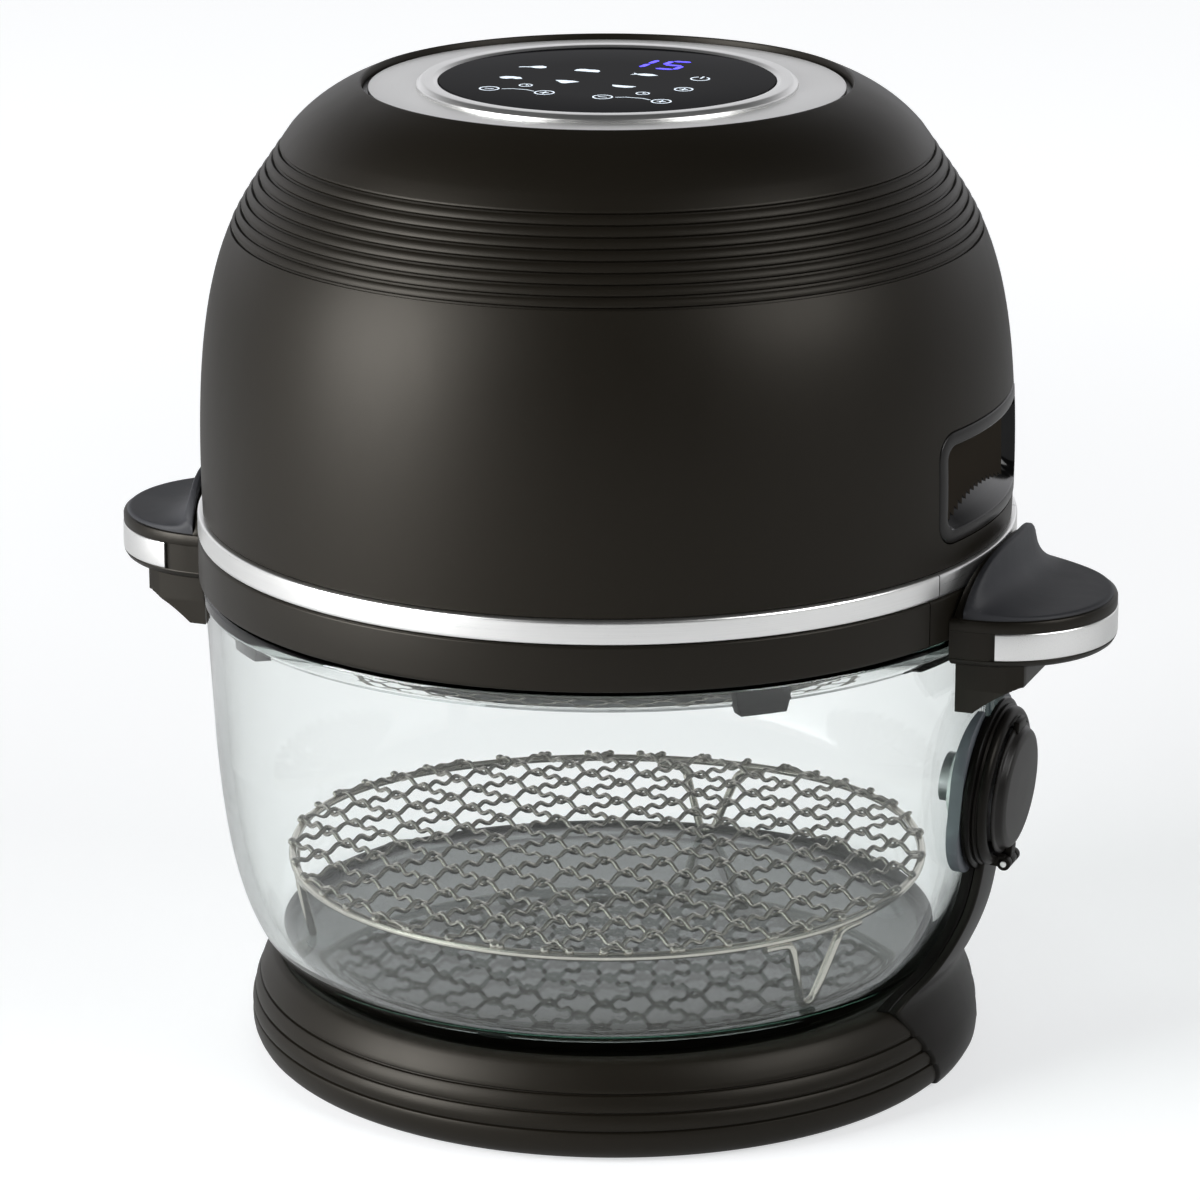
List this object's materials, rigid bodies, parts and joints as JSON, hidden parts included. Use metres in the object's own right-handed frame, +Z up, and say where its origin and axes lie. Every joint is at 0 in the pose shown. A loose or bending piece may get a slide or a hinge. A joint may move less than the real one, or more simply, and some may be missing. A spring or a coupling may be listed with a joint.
{
  "type": "halogen oven",
  "caption": "Countertop halogen oven: a lift-off domed lid with touch panel and side handles on a glass bowl with a wire rack, on a ribbed base with a side spit drive.",
  "frame": {"origin": "on the axis of the bowl and dome, at table level, in the middle of the object's footprint", "axes": "+Z up; -Y is the front, which the panel's figures face; +X points to the drive arm, and the handles and side vents lie on +X and -X"},
  "size_m": [0.3854, 0.3, 0.3624],
  "materials": {
    "warm_black": "satin",
    "arm_black": "fine grain",
    "arm_brown": "fine grain",
    "skirt_black": "satin",
    "vent_black": "polished",
    "pad_grey": "soft",
    "rubber_dark": "matte",
    "silver": "satin",
    "bright": "polished",
    "panel_glass": "polished",
    "bowl_glass": "clear",
    "rack_wire": "bright plated",
    "steel": "satin",
    "pan_alu": "bright",
    "element_glass": "frosted",
    "board_green": "smooth",
    "cell_wrap": "smooth",
    "bush_resin": "moulded",
    "brass": "plain"
  },
  "bodies": {
    "base": {"base_ring": "warm_black", "base_plate": "arm_black", "base_feet": "rubber_dark", "base_screws": "steel", "bowl_pads": "rubber_dark", "battery_box": "arm_black", "battery_cells": "cell_wrap", "drive_arm": "arm_black", "arm_cover": "arm_brown", "foot_cover": "arm_black", "saddle_pad": "pad_grey", "drive_motor": "steel", "coupling_bush": "brass", "cap_pin": "bright", "arm_screws": "steel"},
    "drive": {"drive_coupling": "steel"},
    "cap": {"drive_cap": "arm_brown"},
    "bowl": {"glass_bowl": "bowl_glass", "port_bush": "bush_resin", "port_gasket": "rubber_dark"},
    "socket": {"spit_socket": "steel"},
    "rack": {"rack_rim": "rack_wire", "rack_mesh": "rack_wire", "rack_legs": "rack_wire"},
    "lid": {"dome_shell": "warm_black", "silver_band": "silver", "skirt_ring": "skirt_black", "rim_seal": "rubber_dark", "lid_guide": "arm_black", "reflector_pan": "pan_alu", "guard_grille": "steel", "heating_ring": "element_glass", "ring_clips": "steel", "motor_deck": "pan_alu", "fan_motor": "steel", "power_board": "board_green", "display_board": "board_green", "top_carrier": "arm_black", "top_disc": "silver", "panel_bezel": "bright", "touch_panel": "panel_glass", "vent_frame_right": "vent_black", "vent_frame_left": "vent_black", "vent_fins_right": "vent_black", "vent_fins_left": "vent_black", "handle_body_right": "warm_black", "handle_body_left": "warm_black", "handle_bracket_right": "warm_black", "handle_bracket_left": "warm_black", "handle_trim_right": "silver", "handle_trim_left": "silver", "handle_pad_right": "pad_grey", "handle_pad_left": "pad_grey", "mains_gland": "vent_black", "lid_screws": "steel"},
    "fan": {"fan_shaft": "steel", "fan_blade": "pan_alu", "cooling_fan": "pan_alu", "shaft_nut": "steel"}
  },
  "joints": [
    {"name": "bowl_lift", "type": "slide", "parent": "base", "child": "bowl", "axis": [0, 0, 1], "range_m": [0, 0.15]},
    {"name": "lid_lift", "type": "slide", "parent": "bowl", "child": "lid", "axis": [0, 0, 1], "range_m": [0, 0.2]},
    {"name": "rack_lift", "type": "slide", "parent": "bowl", "child": "rack", "axis": [0, 0, 1], "range_m": [0, 0.085]},
    {"name": "drive_spin", "type": "hinge", "parent": "base", "child": "drive", "pos_m": [0.14699, 0, 0.114], "axis": [0.9969, 0, -0.0785], "continuous": true},
    {"name": "socket_spin", "type": "hinge", "parent": "bowl", "child": "socket", "pos_m": [0.14699, 0, 0.114], "axis": [0.9969, 0, -0.0785], "continuous": true},
    {"name": "cap_swing", "type": "hinge", "parent": "base", "child": "cap", "pos_m": [0.15589, 0, 0.08561], "axis": [0, 1, 0], "range_deg": [0, 100]},
    {"name": "fan_spin", "type": "hinge", "parent": "lid", "child": "fan", "pos_m": [0, 0, 0.2], "axis": [0, 0, 1], "continuous": true}
  ],
  "couplings": [
    {"joint": "drive_spin", "follows": "socket_spin", "ratio": 1}
  ]
}
